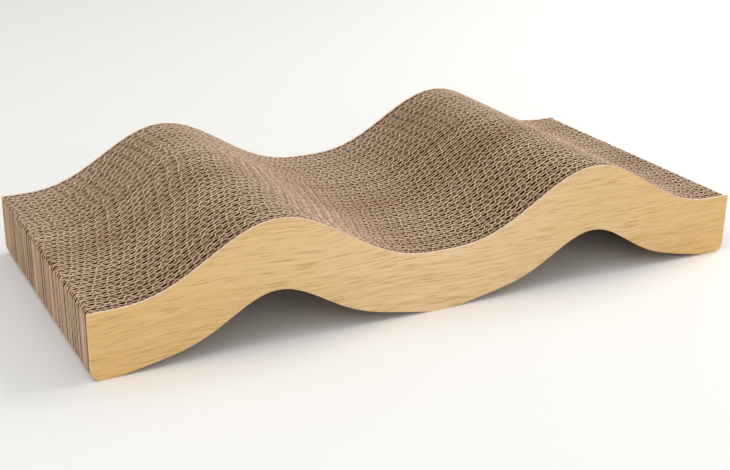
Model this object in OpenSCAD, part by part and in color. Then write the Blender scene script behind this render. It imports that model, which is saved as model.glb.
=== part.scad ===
/* [Outline] */
// Length of the scratcher from end to end
body_l = 430; // [410:5:470]
// Width of the scratcher from front to rear, over both facings
body_w = 200; // [180:2:220]
// Height of the two ends
end_h = 39.5; // [36:0.5:44]
// Length of the level stretch on top of each end
end_level_l = 8.5; // [4:0.5:16]
// Height of the two humps
crest_h = 75; // [70:0.5:84]
// Distance from each end to the crest of its hump
crest_inset = 109; // [104:1:114]
// Height of the seat between the humps
seat_h = 38; // [36:0.5:44]
// Narrowness of the humps, where a higher power is narrower
hump_power = 1.4; // [1.2:0.05:1.7]

/* [Underside] */
// Height of the two arches
arch_h = 33; // [28:0.5:36]
// Distance from each end to the crown of its arch
arch_inset = 108; // [104:1:112]
// Share of an arch's height that its low skirts take
skirt_share = 0.36; // [0.25:0.01:0.45]
// Share of an arch's half width over which its skirt bends up from the level
skirt_bend_share = 0.04; // [0.02:0.01:0.1]
// Narrowness of the arches, where a higher power is narrower
arch_power = 3; // [2.4:0.1:3.6]
// Distance from each end to the inner edge of its level foot
foot_l = 12; // [10:0.5:18]
// Length of the level belly under the seat
belly_l = 12; // [10:1:20]
// Radius of the lower corners at the two ends
corner_r = 6; // [4:0.5:8]

/* [Boards] */
// Number of corrugated boards side by side
board_count = 34; // [24:1:40]
// Thickness of each of a board's three flat liners
liner_t = 0.25; // [0.2:0.05:0.4]
// Thickness of the layer of fine fluting, which stays solid
fine_layer_t = 1.95; // [1.7:0.05:2.2]
// Pitch of the coarse fluting along the board
flute_pitch = 7.75; // [7:0.05:8.5]
// Thickness of the fluted paper
medium_t = 0.25; // [0.2:0.05:0.4]
// Width of the fluted paper's crests where they are glued to a liner
glued_crest_w = 1.4; // [1.2:0.1:1.8]
// Share of a pitch by which each board's fluting is shifted from the last
phase_step_share = 0.2; // [0.1:0.01:0.4]

/* [Facings] */
// Thickness of the wood-grain facing on the front and on the rear
facing_t = 1.4; // [1:0.1:2]

/* [Hidden] */
// Longest straight stretch in a facing's curves
facing_step = 4;
// Straight stretches in each rounded lower corner
corner_steps = 4;
// Shortest stretch left between two points of a board's outline
shortest_step = 1;
// How far each cut runs past the piece it cuts
overrun = 1;
mid_x = body_l / 2;
belly_start = mid_x - belly_l / 2;
stack_t = body_w - 2 * facing_t;
board_t = stack_t / board_count;
coarse_layer_t = board_t - 3 * liner_t - fine_layer_t;
flute_depth = coarse_layer_t - medium_t;
flute_bottom_w = glued_crest_w - medium_t;
board_numbers = [1 : board_count];
cardboard_colour = "#BFA283";
facing_colour = "#DDB877";

function board_name(number) = str("board_", number < 10 ? "0" : "", number);

// Smooth step from 0 to 1 as t goes from 0 to 1
function smooth(t) = (1 - cos(180 * t)) / 2;

// Share of the way from one place to another, held between 0 and 1
function way(x, from, to) = max(0, min(1, (x - from) / (to - from)));

// The two halves of the body mirror each other
function nearer_end(x) = min(x, body_l - x);

// Height of the wavy top: level end, hump, seat
function top_z(x) =
    let(d = nearer_end(x))
    let(low_h = d < crest_inset ? end_h : seat_h)
    let(climb = d < crest_inset ? way(d, end_level_l, crest_inset) : way(d, mid_x, crest_inset))
    low_h + (crest_h - low_h) * pow(smooth(climb), hump_power);

// Height of the underside: level foot, arch with low skirts, level belly
function under_z(x) =
    let(d = nearer_end(x))
    let(climb = d < arch_inset ? way(d, foot_l, arch_inset) : way(d, belly_start, arch_inset))
    let(skirt_climb = climb * climb * (1 + skirt_bend_share) / (climb + skirt_bend_share))
    arch_h * (skirt_share * sin(90 * skirt_climb) + (1 - skirt_share) * pow(smooth(climb), arch_power));

// Points round the lower corner at the left end, from the end face down to the foot
corner_points = [
    for (step = [0 : corner_steps])
        let(a = 90 * step / corner_steps)
        [corner_r * (1 - cos(a)), corner_r * (1 - sin(a))]
];

function mirrored(points) = [for (i = [len(points) - 1 : -1 : 0]) [body_l - points[i].x, points[i].y]];

// Those of the given places that lie between two others, with a shortest stretch kept at both
function between(places, from, to) = [
    for (x = places)
        if (x > from + shortest_step && x < to - shortest_step) x
];

// Closed outline of a board or facing, with a point of the curves at each given place
function outline(places) =
    let(foot_end = body_l - foot_l)
    let(belly_end = body_l - belly_start)
    let(left_arch = concat(foot_l, between(places, foot_l, belly_start), belly_start))
    let(right_arch = concat(belly_end, between(places, belly_end, foot_end), foot_end))
    let(top = concat(0, between(places, 0, body_l), body_l))
    concat(
        corner_points,
        [for (x = concat(left_arch, right_arch)) [x, under_z(x)]],
        mirrored(corner_points),
        [for (i = [len(top) - 1 : -1 : 0]) [top[i], top_z(top[i])]]
    );

// Upright slab of the wavy outline, its front face at y = 0
module wavy_slab(thickness, places) {
    translate([-mid_x, thickness, 0])
        rotate([90, 0, 0])
            linear_extrude(thickness)
                polygon(outline(places));
}

module facing() {
    steps = ceil(body_l / facing_step);
    color(facing_colour)
        wavy_slab(facing_t, [for (step = [1 : steps - 1]) body_l * step / steps]);
}

// Places where the fluted paper is glued to the rear liner
function glued_crests(phase) = [for (x = [phase - flute_pitch : flute_pitch : body_l]) x];

// Open cells between the fluted paper and the rear liner, seen from above
module flute_cells(phase) {
    crest_edge = glued_crest_w / 2;
    bottom_edge = (flute_pitch - flute_bottom_w) / 2;
    for (x = glued_crests(phase))
        translate([x, board_t - liner_t])
            polygon([
                [crest_edge, 0],
                [bottom_edge, -flute_depth],
                [flute_pitch - bottom_edge, -flute_depth],
                [flute_pitch - crest_edge, 0]
            ]);
}

// One corrugated board on edge, cut to the wave, with its flutes running upwards
module board(number) {
    turns = number * phase_step_share;
    phase = flute_pitch * (turns - floor(turns));
    color(cardboard_colour)
        intersection() {
            wavy_slab(board_t, glued_crests(phase));
            translate([-mid_x, 0, -overrun])
                linear_extrude(crest_h + 2 * overrun)
                    difference() {
                        translate([-overrun, 0])
                            square([body_l + 2 * overrun, board_t]);
                        flute_cells(phase);
                    }
        }
}

module front_facing() {
    translate([0, -body_w / 2, 0])
        facing();
}

module rear_facing() {
    translate([0, body_w / 2 - facing_t, 0])
        facing();
}

module placed_board(number) {
    translate([0, (number - 1) * board_t - stack_t / 2, 0])
        board(number);
}

front_facing();
for (number = board_numbers)
    placed_board(number);
rear_facing();
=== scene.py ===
import bpy
import math
import random
import numpy as np
from mathutils import Euler, Matrix, Vector


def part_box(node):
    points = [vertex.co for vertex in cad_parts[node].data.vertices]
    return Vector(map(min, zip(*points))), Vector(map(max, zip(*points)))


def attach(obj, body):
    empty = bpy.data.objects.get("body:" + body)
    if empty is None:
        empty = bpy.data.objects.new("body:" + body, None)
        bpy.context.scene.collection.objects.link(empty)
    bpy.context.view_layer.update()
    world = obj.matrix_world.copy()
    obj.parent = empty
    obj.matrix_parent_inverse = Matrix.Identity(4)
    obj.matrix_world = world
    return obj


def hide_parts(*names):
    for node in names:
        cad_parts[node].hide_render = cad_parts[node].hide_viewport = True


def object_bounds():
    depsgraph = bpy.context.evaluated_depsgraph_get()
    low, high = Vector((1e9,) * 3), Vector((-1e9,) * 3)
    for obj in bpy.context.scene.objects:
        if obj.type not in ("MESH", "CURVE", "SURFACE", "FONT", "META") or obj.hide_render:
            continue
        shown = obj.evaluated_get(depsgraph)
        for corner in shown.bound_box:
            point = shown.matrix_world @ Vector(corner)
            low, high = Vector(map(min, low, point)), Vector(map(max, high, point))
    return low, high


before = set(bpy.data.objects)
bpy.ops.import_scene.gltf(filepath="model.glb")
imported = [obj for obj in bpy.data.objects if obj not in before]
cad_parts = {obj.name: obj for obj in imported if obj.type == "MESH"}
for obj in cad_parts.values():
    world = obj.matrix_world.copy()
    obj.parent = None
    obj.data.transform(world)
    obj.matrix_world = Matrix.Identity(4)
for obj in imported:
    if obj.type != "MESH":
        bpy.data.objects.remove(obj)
cadLow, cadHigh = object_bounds()
print("stage: frame loaded")

mm = 0.001
bodyLength = (cadHigh.x - cadLow.x) / mm
halfLength = bodyLength / 2
halfDepth = (cadHigh.y - cadLow.y) / 2 / mm
boardNodes = sorted(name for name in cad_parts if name.startswith("board_"))
smoothAngle = math.radians(40)  # folds sharper than this stay crisp

# The outline that every board and both facings are cut to, in mm
waveShape = {
    "endHeight": 39.5,
    "endLevel": 8.5,
    "crestHeight": 75.0,
    "crestInset": 109.0,
    "seatHeight": 38.0,
    "humpPower": 1.4,
    "archHeight": 33.0,
    "archInset": 108.0,
    "skirtShare": 0.36,
    "skirtBendShare": 0.04,
    "archPower": 3.0,
    "footLength": 12.0,
    "bellyLength": 12.0,
    "cornerRadius": 6.0,
    "cornerSteps": 6,
}


def smoothStep(t):
    return (1 - np.cos(np.pi * t)) / 2


def wayAlong(x, start, end):  # share of the way from start to end
    return np.clip((x - start) / (end - start), 0, 1)


def fromNearerEnd(x):  # x runs from the left end, all in mm
    return np.minimum(x, bodyLength - x)


def topHeight(x):
    w = waveShape
    d = fromNearerEnd(x)
    outer = smoothStep(wayAlong(d, w["endLevel"], w["crestInset"])) ** w["humpPower"]
    inner = smoothStep(wayAlong(d, halfLength, w["crestInset"])) ** w["humpPower"]
    return np.where(
        d < w["crestInset"],
        w["endHeight"] + (w["crestHeight"] - w["endHeight"]) * outer,
        w["seatHeight"] + (w["crestHeight"] - w["seatHeight"]) * inner,
    )


def underHeight(x):
    w = waveShape
    d = fromNearerEnd(x)
    outer = wayAlong(d, w["footLength"], w["archInset"])
    inner = wayAlong(d, halfLength - w["bellyLength"] / 2, w["archInset"])
    climb = np.where(d < w["archInset"], outer, inner)
    bend = w["skirtBendShare"]
    skirt = w["skirtShare"] * np.sin(np.pi / 2 * climb * climb * (1 + bend) / (climb + bend))
    vault = (1 - w["skirtShare"]) * smoothStep(climb) ** w["archPower"]
    r = w["cornerRadius"]
    fromCorner = np.clip(r - d, 0, r)
    return w["archHeight"] * (skirt + vault) + r - np.sqrt(r * r - fromCorner * fromCorner)


def stationsAlong(step):  # places along the length, closer together round the lower corners
    r = waveShape["cornerRadius"]
    corner = r * (1 - np.cos(np.linspace(0, np.pi / 2, waveShape["cornerSteps"] + 1)))
    middle = np.arange(r + step, bodyLength - r - step / 2, step)
    return np.concatenate([corner, middle, bodyLength - corner[::-1]])


def driftAlong(chance, x, wavelength, size):  # a slow random drift, in mm
    drift = np.zeros_like(x)
    for stretch in (1.0, 0.61, 0.37):  # the shorter a wave, the lower it is
        start = chance.uniform(0, 2 * np.pi)
        drift += np.sin(2 * np.pi * x / (wavelength * stretch) + start) * stretch
    return drift * size / 2


def linearColour(hexColour):  # from sRGB
    parts = [int(hexColour[i:i + 2], 16) / 255 for i in (1, 3, 5)]
    linear = [c / 12.92 if c <= 0.04045 else ((c + 0.055) / 1.055) ** 2.4 for c in parts]
    return (*linear, 1.0)


def addNode(tree, kind, settings=None, values=None, links=None, stops=()):
    # Values and links go by an input's name or number, and a mix of colours has its share at 0,
    # its colours at 6 and 7 and its result at 2. Stops are a colour ramp's places and colours.
    node = tree.nodes.new(kind)
    for name, value in (settings or {}).items():
        setattr(node, name, value)
    for name, value in (values or {}).items():
        node.inputs[name].default_value = value
    for name, source in (links or {}).items():
        tree.links.new(source, node.inputs[name])
    for number, (place, colour) in enumerate(stops):
        elements = node.color_ramp.elements
        element = elements[number] if number < len(elements) else elements.new(place)
        element.position = place
        element.color = linearColour(colour)
    return node


def newMaterial(name, roughness, specular):
    material = bpy.data.materials.new(name)
    material.use_nodes = True
    shader = material.node_tree.nodes["Principled BSDF"]
    shader.inputs["Roughness"].default_value = roughness
    shader.inputs["Specular IOR Level"].default_value = specular
    return material, shader


kraftLook = {
    "scuffed": ("#D2A97F", "#F0CDA6"),       # just below a cut
    "shadedLiner": ("#381903", "#52290B"),    # painted shade: the liner deeper in, out of the light
    "shadedFluting": ("#764E2A", "#9A6F44"),  # the flutes' sides further in: own tan, darkened as painted shade
    "gluedShadedCrest": ("#44240B", "#603A19"),  # on their crests: darker where glue soaks them, and darker still as painted shade in the crease against the liner
    "edge": ("#BE9A78", "#E4C6A6"),          # the cut itself
    "linerScuffShade": (0.05, 0.35),              # mm below a cut, where the scuffing starts to fade into painted shade and where only the shade is left
    "coarseScuffShade": (0.4, 0.95),
    "fineScuffShade": (0.15, 0.65),
    "toneEnds": (0.28, 0.72),  # tones that get the first and the second colour of a pair
    "boardPitch": 5.8,         # mm, each board has a tone of its own
    "boardShare": 0.35,
    "patchSize": 55.0,         # mm
    "fibreSize": 0.9,          # mm, coarser than real fibres so that they show
    "fibreShare": 0.3,
    "wallRoughness": 0.85,
    "wallSpecular": 0.0,
    "edgeRoughness": 0.95,
    "edgeSpecular": 0.1,
    "edgeSheen": 0.4,          # loose fibres catch the light at grazing angles
}


def kraftTone(tree):  # slow patches, a tone for each board, and fibres
    look = kraftLook
    place = addNode(tree, "ShaderNodeTexCoord").outputs["Object"]
    across = addNode(tree, "ShaderNodeSeparateXYZ", links={"Vector": place}).outputs["Y"]
    row = addNode(tree, "ShaderNodeMath", {"operation": "MULTIPLY"},
                  {1: 1 / (look["boardPitch"] * mm)}, {0: across})
    rowNumber = addNode(tree, "ShaderNodeMath", {"operation": "FLOOR"}, links={0: row.outputs[0]})
    rowTone = addNode(tree, "ShaderNodeTexWhiteNoise", {"noise_dimensions": "1D"},
                      links={"W": rowNumber.outputs[0]})
    patches, fibres = [
        addNode(tree, "ShaderNodeTexNoise", values={"Scale": 1 / (size * mm), "Detail": 2.0},
                links={"Vector": place})
        for size in (look["patchSize"], look["fibreSize"])
    ]
    slow = addNode(tree, "ShaderNodeMix", values={"Factor": look["boardShare"]},
                   links={"A": patches.outputs["Fac"], "B": rowTone.outputs["Value"]})
    tone = addNode(tree, "ShaderNodeMix", values={"Factor": look["fibreShare"]},
                   links={"A": slow.outputs["Result"], "B": fibres.outputs["Fac"]})
    return tone.outputs["Result"]


def kraftColour(tree, tone, key):  # the tone runs from a pair's first colour to its second
    stops = zip(kraftLook["toneEnds"], kraftLook[key])
    return addNode(tree, "ShaderNodeValToRGB", links={"Fac": tone}, stops=stops).outputs["Color"]


def makeScuffedShadedPaper(name, wallShadeKey, crestShadeKey, scuffShadeKey):
    # Matt paper with faint fibre mottling. The saw scuffs it pale and fluffy for some tenths of a
    # millimetre below each cut. Further in, out of the light, it is coloured darker as painted
    # shade, and darker still where glue soaks the crests, with painted shade in the crease against
    # the liner.
    # Its walls don't shine, so the flutes stay dark inside.
    look = kraftLook
    material, shader = newMaterial(name, look["wallRoughness"], look["wallSpecular"])
    tree = material.node_tree
    tone = kraftTone(tree)
    scuffed, shadedWall, gluedAndShaded = [
        kraftColour(tree, tone, key) for key in ("scuffed", wallShadeKey, crestShadeKey)
    ]
    maps = [addNode(tree, "ShaderNodeUVMap", {"uv_map": key}) for key in ("fromCut", "glue")]
    fromCut, glue = [
        addNode(tree, "ShaderNodeSeparateXYZ", links={"Vector": node.outputs[0]}).outputs
        for node in maps
    ]
    depth = addNode(tree, "ShaderNodeMath", {"operation": "MINIMUM"},
                    links={0: fromCut["X"], 1: fromCut["Y"]})
    # Below the cut the pale scuffing fades into the painted shade of the deeper walls
    start, end = look[scuffShadeKey]
    inside = addNode(tree, "ShaderNodeMapRange", values={"From Min": start, "From Max": end},
                     links={"Value": depth.outputs[0]})
    deep = addNode(tree, "ShaderNodeMix", {"data_type": "RGBA"},
                   links={0: glue["X"], 6: shadedWall, 7: gluedAndShaded})
    colour = addNode(tree, "ShaderNodeMix", {"data_type": "RGBA"},
                     links={0: inside.outputs[0], 6: scuffed, 7: deep.outputs[2]})
    tree.links.new(colour.outputs[2], shader.inputs["Base Color"])
    return material


def makeKraftCutEdge():
    # The same papers where the saw cut them: torn fibres stand up, look paler and catch the light
    look = kraftLook
    material, shader = newMaterial(
        "kraftPaperSawnEdge", look["edgeRoughness"], look["edgeSpecular"])
    tree = material.node_tree
    tree.links.new(kraftColour(tree, kraftTone(tree), "edge"), shader.inputs["Base Color"])
    shader.inputs["Sheen Weight"].default_value = look["edgeSheen"]
    return material


facingLook = {
    "tones": [(0.38, "#EED1A3"), (0.5, "#E9C798"), (0.62, "#DDB986")],  # of the grain
    "layers": [                  # height and length of the grain in mm, and its share of the tone
        (5.0, 190.0, 0.30),
        (1.3, 75.0, 0.30),
        (0.8, 45.0, 0.40),
    ],
    "sway": 10.0,                # mm, how far the grain wanders up and down
    "swayLength": 110.0,         # mm
    "warm": "#DEAE5E",           # the print is warmer towards the two ends
    "warmReach": (30.0, 200.0),  # mm from the middle, where the warmth starts and is full
    "warmShare": 0.55,
    "pore": "#BC945A",
    "poreSize": (0.7, 16.0),     # height and length in mm, coarser than real so that they show
    "poreLimits": (0.46, 0.34),  # noise at which pores start and are full
    "poreShare": 0.6,
    "roughness": 0.6,
    "specular": 0.3,
    "edgeTones": [(0.3, "#DCC4AA"), (0.7, "#F2E0CA")],
    "edgeFibre": 1.2,            # mm, coarser than real fibres so that they show
    "edgeRoughness": 0.9,
    "edgeSpecular": 0.15,
}


def makeWoodGrainPrint():
    # Matt paperboard printed with a plain pale wood grain: flat and even, with fine level streaks
    look = facingLook
    material, shader = newMaterial(
        "printedWoodGrainPaper", look["roughness"], look["specular"])
    tree = material.node_tree
    place = addNode(tree, "ShaderNodeTexCoord").outputs["Object"]
    sway = addNode(tree, "ShaderNodeTexNoise", links={"Vector": place},
                   values={"Scale": 1 / (look["swayLength"] * mm), "Detail": 1.0})
    lift = addNode(tree, "ShaderNodeMath", {"operation": "MULTIPLY"},
                   {1: look["sway"] * mm}, {0: sway.outputs["Fac"]})
    upwards = addNode(tree, "ShaderNodeCombineXYZ", links={"Z": lift.outputs[0]})
    swayed = addNode(tree, "ShaderNodeVectorMath", {"operation": "ADD"},
                     links={0: place, 1: upwards.outputs[0]})

    def streaks(height, length):
        stretch = (1 / (length * mm), 1 / (length * mm), 1 / (height * mm))
        stretched = addNode(tree, "ShaderNodeVectorMath", {"operation": "MULTIPLY"},
                            {1: stretch}, {0: swayed.outputs[0]})
        noise = addNode(tree, "ShaderNodeTexNoise", values={"Scale": 1.0, "Detail": 2.0},
                        links={"Vector": stretched.outputs[0]})
        return noise.outputs["Fac"]

    tone = None
    for height, length, share in look["layers"]:
        links = {0: streaks(height, length)}
        if tone:
            links[2] = tone
        tone = addNode(tree, "ShaderNodeMath", {"operation": "MULTIPLY_ADD"},
                       {1: share, 2: 0.0}, links).outputs[0]
    grain = addNode(tree, "ShaderNodeValToRGB", links={"Fac": tone}, stops=look["tones"])
    along = addNode(tree, "ShaderNodeSeparateXYZ", links={"Vector": place}).outputs["X"]
    fromMiddle = addNode(tree, "ShaderNodeMath", {"operation": "ABSOLUTE"}, links={0: along})
    near, far = look["warmReach"]
    warmth = addNode(tree, "ShaderNodeMapRange", links={"Value": fromMiddle.outputs[0]},
                     values={"From Min": near * mm, "From Max": far * mm,
                             "To Max": look["warmShare"]})
    warmed = addNode(tree, "ShaderNodeMix", {"data_type": "RGBA"},
                     {7: linearColour(look["warm"])},
                     {0: warmth.outputs[0], 6: grain.outputs["Color"]})
    start, full = look["poreLimits"]
    pores = addNode(tree, "ShaderNodeMapRange", links={"Value": streaks(*look["poreSize"])},
                    values={"From Min": start, "From Max": full, "To Max": look["poreShare"]})
    colour = addNode(tree, "ShaderNodeMix", {"data_type": "RGBA"},
                     {7: linearColour(look["pore"])},
                     {0: pores.outputs[0], 6: warmed.outputs[2]})
    tree.links.new(colour.outputs[2], shader.inputs["Base Color"])
    return material


def makePaperboardEdge():
    # Cut edge of pale paperboard: creamy and slightly fibrous
    look = facingLook
    material, shader = newMaterial(
        "paperboardCutEdge", look["edgeRoughness"], look["edgeSpecular"])
    tree = material.node_tree
    place = addNode(tree, "ShaderNodeTexCoord").outputs["Object"]
    fibres = addNode(tree, "ShaderNodeTexNoise", links={"Vector": place},
                     values={"Scale": 1 / (look["edgeFibre"] * mm), "Detail": 2.0})
    colour = addNode(tree, "ShaderNodeValToRGB", links={"Fac": fibres.outputs["Fac"]},
                     stops=look["edgeTones"])
    tree.links.new(colour.outputs["Color"], shader.inputs["Base Color"])
    return material


linerPaper = makeScuffedShadedPaper("kraftLinerUnbleached", "shadedLiner", "shadedLiner", "linerScuffShade")
coarsePaper = makeScuffedShadedPaper(
    "recycledFlutingPaper", "shadedFluting", "gluedShadedCrest", "coarseScuffShade")
finePaper = makeScuffedShadedPaper(
    "recycledFineFlutingPaper", "shadedFluting", "gluedShadedCrest", "fineScuffShade")
kraftCutEdge = makeKraftCutEdge()
woodGrainPrint = makeWoodGrainPrint()
paperboardEdge = makePaperboardEdge()
print("stage: materials made")

# Double-wall board, from its front: liner, fine fluting, liner, coarse fluting, liner
boardStock = {
    "linerThickness": 0.25,  # mm
    "linerStep": 2.0,
    "mediumThickness": 0.25,
    "fine": {"height": 2.1, "pitch": 6.66, "steps": 14, "leanShare": 0.15},  # steps to a wave
    "coarse": {"height": 2.95, "pitch": 7.75, "steps": 16, "leanShare": 1.0},
    "crestFlat": 2.4,          # higher for flatter crests and steeper sides
    "glueAndShadeReach": (0.8, 0.98),  # shares of a flute's swing where its glue and the painted shade at the crests start and are full
    "phaseStep": 0.2,          # share of a pitch from each board to the next, rearwards
    "rearPhaseStep": -0.1,     # the same from rearStart on
    "rearStart": 24,
    "phaseScatter": 0.12,
    "lean": 0.35,              # mm, how far the flutes lean over
    "leanLength": 120.0,
    "pitchDrift": 0.7,         # mm
    "pitchDriftLength": 150.0,
    "raggedEdge": 0.03,        # mm, roughness of the saw cut
    "cutZone": 0.8,            # mm, how deep the papers are fuzzed and bent by the saw
    "fuzzReach": 0.3,          # mm, how near a cut the fuzz is full
    "linerFuzz": 1.6,          # how many times thicker the saw leaves the papers' edges
    "flutingFuzz": 2.4,
    "burr": 0.1,               # mm, how far the saw bends their edges
    "burrLength": 9.0,
    "crushedCorner": 2.5,      # mm, how far the top corners are crushed at the two ends
    "flare": 0.6,              # mm, how far liners curl at the two ends
    "flareLength": 6.0,
    "bow": 0.5,                # mm, how far the stack bows out of line
    "bowWaves": 4,
    "bowRanges": [             # a wave's length along and across in mm, its phases below and above
        (90, 260),
        (150, 400),
        (0, 6.28),
        (0, 6.28),
    ],
    "stackSeed": 11,           # for what the boards share
    "boardSeed": 11000,        # each board adds its number
}

stackChance = random.Random(boardStock["stackSeed"])
bowWaves = [
    [stackChance.uniform(*limits) for limits in boardStock["bowRanges"]]
    for _ in range(boardStock["bowWaves"])
]


def shiftsBehind(count):  # boards cut one after another from a long sheet shift nearly steadily
    stock = boardStock
    shifts = [0.0]
    for number in range(1, count):
        step = stock["phaseStep"] if number < stock["rearStart"] else stock["rearPhaseStep"]
        scatter = stackChance.uniform(-1, 1) * stock["phaseScatter"]
        shifts.append(shifts[-1] - step + scatter)
    return shifts


fluteShifts = shiftsBehind(len(boardNodes))


def stackBow(x, y, level):  # shared by neighbours, so that boards never cross; none at the facings
    bow = sum(
        np.sin(2 * np.pi * (x / length + y / depth) + phases[level])
        for length, depth, *phases in bowWaves
    )
    return boardStock["bow"] / 2 * bow * (1 - (y / halfDepth) ** 2)


def readPoints(mesh):
    points = np.zeros(len(mesh.vertices) * 3)
    mesh.vertices.foreach_get("co", points)
    return points.reshape(-1, 3)


def writePoints(mesh, points):
    mesh.vertices.foreach_set("co", points.ravel())
    mesh.update()


def addSheet(along, rows, thickness, faceMaterial, edgeMaterial, fuzz=1.0, glue=0.0):
    # An upright sheet: a flat grid whose rows are set to the outline from under to top, then given
    # its thickness. Each row holds its place across, its height and its depth below the nearest
    # cut, and the UV map keeps how far each point is from the end cut and from that cut, in mm.
    # Fuzz says how many times thicker the sheet is right at its cuts, and glue, kept in a UV map
    # of its own, how glue-soaked each station is; the crests it marks also get painted shade.
    bpy.ops.object.select_all(action="DESELECT")
    bpy.ops.mesh.primitive_grid_add(
        x_subdivisions=len(along) - 1, y_subdivisions=len(rows) - 1, size=1)
    sheet = bpy.context.object
    mesh = sheet.data
    flat = readPoints(mesh)
    order = np.lexsort((flat[:, 0], np.round(flat[:, 1], 5)))  # by row, then along it
    placed = np.zeros_like(flat)
    depths = np.zeros((len(flat), 2))
    fromEnd = fromNearerEnd(along)
    for number, (across, height, depth) in enumerate(rows):
        row = order[number * len(along):(number + 1) * len(along)]
        placed[row] = np.column_stack([along - halfLength, across, height])
        depths[row] = np.column_stack([fromEnd, np.full_like(along, depth)])
    writePoints(mesh, placed * mm)

    gluedAndShaded = np.zeros((len(flat), 2))
    gluedAndShaded[order, 0] = np.tile(glue * np.ones_like(along), len(rows))
    corners = np.zeros(len(mesh.loops), dtype=int)
    mesh.loops.foreach_get("vertex_index", corners)
    mesh.uv_layers[0].name = "fromCut"
    mesh.uv_layers.new(name="glue")
    for mapName, pairs in (("fromCut", depths), ("glue", gluedAndShaded)):
        mesh.uv_layers[mapName].data.foreach_set("uv", pairs[corners].ravel())
    mesh.materials.append(faceMaterial)
    mesh.materials.append(edgeMaterial)

    atCut = np.flatnonzero(depths.min(axis=1) < boardStock["fuzzReach"])
    cutGroup = sheet.vertex_groups.new(name="atCut")
    cutGroup.add(atCut.tolist(), 1.0, "REPLACE")
    bpy.ops.object.modifier_add(type="SOLIDIFY")
    solidify = sheet.modifiers[-1]
    solidify.thickness = thickness * fuzz * mm
    solidify.vertex_group = cutGroup.name
    solidify.thickness_vertex_group = 1 / fuzz
    solidify.offset = 0
    solidify.material_offset_rim = 1
    bpy.ops.object.modifier_apply(modifier=solidify.name)
    sheet.vertex_groups.clear()

    # Trim what the thickness adds past the sawn ends, the top and the underside
    writePoints(sheet.data, np.clip(readPoints(sheet.data), np.array(cadLow), np.array(cadHigh)))
    return sheet


def addPaper(chance, along, offset, thickness, flare, paper, fuzz, glue=0.0):
    # A board's paper, cut to the outline, with what the saw does to it at the top and the ends
    stock = boardStock
    ragged = np.array([chance.uniform(0, 1) for _ in along]) * stock["raggedEdge"]
    fromEnd = fromNearerEnd(along)
    crushed = stock["crushedCorner"] * np.clip(1 - fromEnd / stock["crushedCorner"], 0, 1) ** 2
    top, under = topHeight(along) - ragged - crushed, underHeight(along)
    curl = np.clip(1 - fromEnd / stock["flareLength"], 0, 1) ** 2
    lower, upper = [
        offset + stackBow(along, offset, level) + curl * flare[level] for level in (0, 1)
    ]
    burr = driftAlong(chance, along, stock["burrLength"], stock["burr"])
    zone = stock["cutZone"]
    rows = [
        (lower, under, 0),
        (lower, under + zone, zone),
        ((lower + upper) / 2, (under + top) / 2, (top - under) / 2),
        (upper, top - zone, zone),
        (upper + burr, top, 0),
    ]
    return addSheet(along, rows, thickness, paper, kraftCutEdge, fuzz, glue)


def addBoard(number, node):
    stock = boardStock
    liner, medium = stock["linerThickness"], stock["mediumThickness"]
    fine, coarse = stock["fine"], stock["coarse"]
    chance = random.Random(stock["boardSeed"] + number)
    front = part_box(node)[0].y / mm
    sheets = []

    # Three flat liners
    linerPlaces = [
        liner / 2,
        liner * 1.5 + fine["height"],
        liner * 2.5 + fine["height"] + coarse["height"],
    ]
    along = stationsAlong(stock["linerStep"])
    for place in linerPlaces:
        flare = [chance.uniform(-1, 1) * stock["flare"] for _ in (0, 1)]
        offset = np.full_like(along, front + place)
        sheets.append(addPaper(
            chance, along, offset, liner, flare, linerPaper, stock["linerFuzz"]))

    # Two fluted papers, each a leaning wave between its liners
    flutings = [
        (fine, liner, chance.uniform(0, 1), finePaper),
        (coarse, liner * 2 + fine["height"], fluteShifts[number - 1], coarsePaper),
    ]
    for layer, start, shift, paper in flutings:
        pitch = layer["pitch"]
        along = stationsAlong(pitch / layer["steps"])
        drift = driftAlong(chance, along, stock["pitchDriftLength"], stock["pitchDrift"])
        evenLean = stock["lean"] * chance.uniform(-1, 1)
        unevenLean = driftAlong(chance, along, stock["leanLength"], stock["lean"])
        lean = layer["leanShare"] * (evenLean + unevenLean)
        turn = 2 * np.pi * (along + drift) / pitch + 2 * np.pi * shift
        turn = turn + lean / pitch * 2 * np.pi * np.sin(turn)
        swing = np.tanh(stock["crestFlat"] * np.sin(turn)) / np.tanh(stock["crestFlat"])
        offset = front + start + layer["height"] / 2 + swing * (layer["height"] - medium) / 2
        glue = wayAlong(np.abs(swing), *stock["glueAndShadeReach"])
        sheets.append(addPaper(
            chance, along, offset, medium, (0, 0), paper, stock["flutingFuzz"], glue))

    bpy.ops.object.select_all(action="DESELECT")
    for sheet in sheets:
        sheet.select_set(True)
    bpy.context.view_layer.objects.active = sheets[0]
    bpy.ops.object.join()
    board = bpy.context.object
    board.name = "corrugatedBoard_%02d" % number
    bpy.ops.object.shade_smooth_by_angle(angle=smoothAngle)
    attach(board, "root")
    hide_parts(node)


for number, node in enumerate(boardNodes, 1):
    addBoard(number, node)
print("stage:", len(boardNodes), "corrugated boards")

facingPanel = {
    "step": 1.5,        # mm
    "edgeRound": 0.12,  # mm
    "edgeSteps": 2,
    "edgeAngle": 60,    # degrees, edges sharper than this are rounded
}


def makeFacing(low, high):
    along = stationsAlong(facingPanel["step"])
    across = np.full_like(along, (low.y + high.y) / 2 / mm)
    rows = [(across, underHeight(along), 0), (across, topHeight(along), 0)]
    panel = addSheet(along, rows, (high.y - low.y) / mm, woodGrainPrint, paperboardEdge)
    bpy.ops.object.modifier_add(type="BEVEL")
    bevel = panel.modifiers[-1]
    bevel.width = facingPanel["edgeRound"] * mm
    bevel.segments = facingPanel["edgeSteps"]
    bevel.limit_method = "ANGLE"
    bevel.angle_limit = math.radians(facingPanel["edgeAngle"])
    bpy.ops.object.modifier_apply(modifier=bevel.name)
    bpy.ops.object.shade_smooth_by_angle(angle=smoothAngle)
    return panel


def tieFacing(panel, name, node):
    panel.name = name
    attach(panel, "root")
    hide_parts(node)


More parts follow.
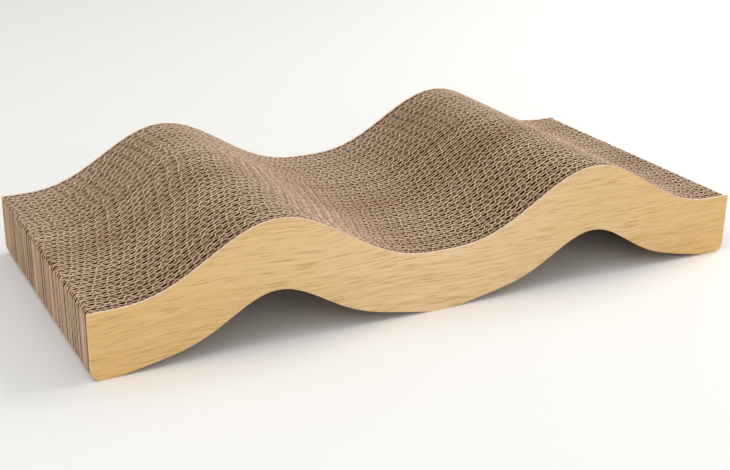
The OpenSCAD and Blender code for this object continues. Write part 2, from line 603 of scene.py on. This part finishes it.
frontBox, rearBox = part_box("front_facing"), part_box("rear_facing")
frontFacing = makeFacing(*frontBox)
rearFacing = frontFacing.copy()
rearFacing.data = frontFacing.data.copy()
bpy.context.collection.objects.link(rearFacing)
rearFacing.data.transform(Matrix.Translation((0, rearBox[0].y - frontBox[0].y, 0)))
tieFacing(frontFacing, "frontFacing", "front_facing")
tieFacing(rearFacing, "rearFacing", "rear_facing")
print("stage: facings")

studio = {
    "floorSize": 8.0,  # m
    "floorColour": "#F6F5F2",
    "floorRoughness": 0.9,
    "floorSpecular": 0.5,
    "worldStrength": 0.55,
    "lamps": [         # place in m, size in m, watts
        ((1.4, 0.1, 0.95), 1.0, 15.2),
        ((-0.2, -1.7, 0.7), 1.2, 4.9),
        ((-0.75, -0.35, 1.4), 1.0, 5.5),
    ],
    "aim": (0.0, 0.0, 0.03),
}

bpy.ops.object.select_all(action="DESELECT")
bpy.ops.mesh.primitive_plane_add(size=studio["floorSize"], location=(0, 0, cadLow.z))
floor = bpy.context.object
floor.name = "floor"

# Matt pale board: even, with a soft shadow and no shine
floorMaterial, floorShader = newMaterial(
    "mattPaleFloor", studio["floorRoughness"], studio["floorSpecular"])
floorShader.inputs["Base Color"].default_value = linearColour(studio["floorColour"])
floor.data.materials.append(floorMaterial)

# The room is white to the camera and in reflections, and dimmer as a light
world = bpy.data.worlds.new("paleRoom")
bpy.context.scene.world = world
world.use_nodes = True
room = world.node_tree
sky = room.nodes["Background"]
sky.inputs["Color"].default_value = (1, 1, 1, 1)
rays = addNode(room, "ShaderNodeLightPath").outputs
shiny = addNode(room, "ShaderNodeMath", {"operation": "ADD"},
                links={0: rays["Is Glossy Ray"], 1: rays["Is Transmission Ray"]})
direct = addNode(room, "ShaderNodeMath", {"operation": "ADD", "use_clamp": True},
                 links={0: rays["Is Camera Ray"], 1: shiny.outputs[0]})
strength = addNode(room, "ShaderNodeMapRange", values={"To Min": studio["worldStrength"]},
                   links={"Value": direct.outputs[0]})
room.links.new(strength.outputs[0], sky.inputs["Strength"])

for number, (place, size, watts) in enumerate(studio["lamps"], 1):
    bpy.ops.object.light_add(type="AREA", location=place)
    lamp = bpy.context.object
    lamp.name = "softbox_%d" % number
    lamp.data.size = size
    lamp.data.energy = watts
    toAim = Vector([end - start for end, start in zip(studio["aim"], place)])
    lamp.rotation_euler = toAim.to_track_quat("-Z", "Y").to_euler()

viewpoint = {
    "place": (-0.3642, -0.6992, 0.3237),  # m
    "yaw": 26.68,    # degrees from +Y towards +X
    "pitch": 21.55,  # degrees down
    "roll": 0.49,
    "lens": 63.35,   # mm
    "sensor": 36,    # mm
    "shiftX": 0.0213,
    "shiftY": -0.0011,
}
bpy.ops.object.camera_add(location=viewpoint["place"])
camera = bpy.context.object
pitch, yaw = math.radians(90 - viewpoint["pitch"]), -math.radians(viewpoint["yaw"])
roll = Matrix.Rotation(math.radians(viewpoint["roll"]), 3, "Z")
camera.rotation_euler = (Euler((pitch, 0, yaw)).to_matrix() @ roll).to_euler()
camera.data.sensor_width = viewpoint["sensor"]
camera.data.lens = viewpoint["lens"]
camera.data.shift_x = viewpoint["shiftX"]
camera.data.shift_y = viewpoint["shiftY"]
bpy.context.scene.camera = camera
bpy.context.scene.view_settings.view_transform = "Standard"
print("stage: studio and camera")
